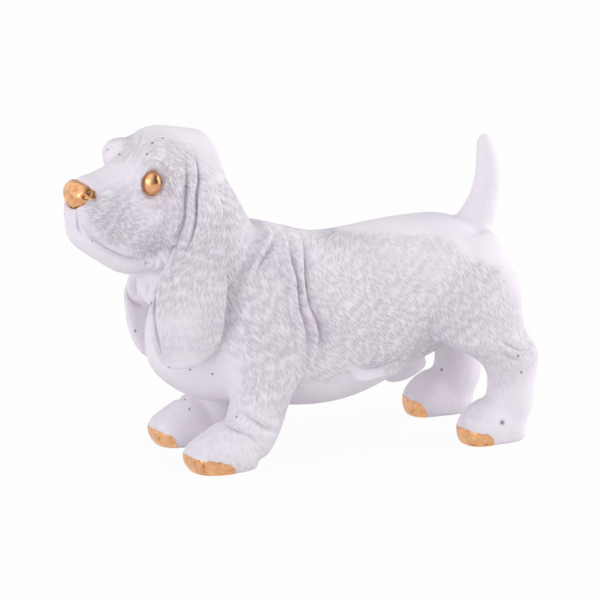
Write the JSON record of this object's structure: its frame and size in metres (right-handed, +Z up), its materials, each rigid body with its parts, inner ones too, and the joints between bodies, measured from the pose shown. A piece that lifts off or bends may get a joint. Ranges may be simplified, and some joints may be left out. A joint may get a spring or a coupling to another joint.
{
  "type": "standing dog ornament",
  "caption": "Standing long-eared hound ornament in matt white cast resin, with gilded nose, eyes and toe tips, that stands on its own paws.",
  "frame": {"origin": "on the floor, under the middle of the bounding box", "axes": "+Z up, the dog faces -X, its left side towards -Y"},
  "size_m": [0.182, 0.0668, 0.1289],
  "materials": {
    "white_resin": "matt cast resin with tooled fur strokes",
    "gold_leaf": "burnished copper gold leaf"
  },
  "bodies": {
    "root": {"trunk": "white_resin", "head": "white_resin", "left_ear": "white_resin", "right_ear": "white_resin", "front_left_leg": "white_resin", "front_right_leg": "white_resin", "hind_left_leg": "white_resin", "hind_right_leg": "white_resin", "tail": "white_resin", "nose": "gold_leaf", "left_eye": "gold_leaf", "right_eye": "gold_leaf", "front_left_toe_leaf": "gold_leaf", "front_right_toe_leaf": "gold_leaf", "hind_left_toe_leaf": "gold_leaf", "hind_right_toe_leaf": "gold_leaf"}
  },
  "joints": []
}
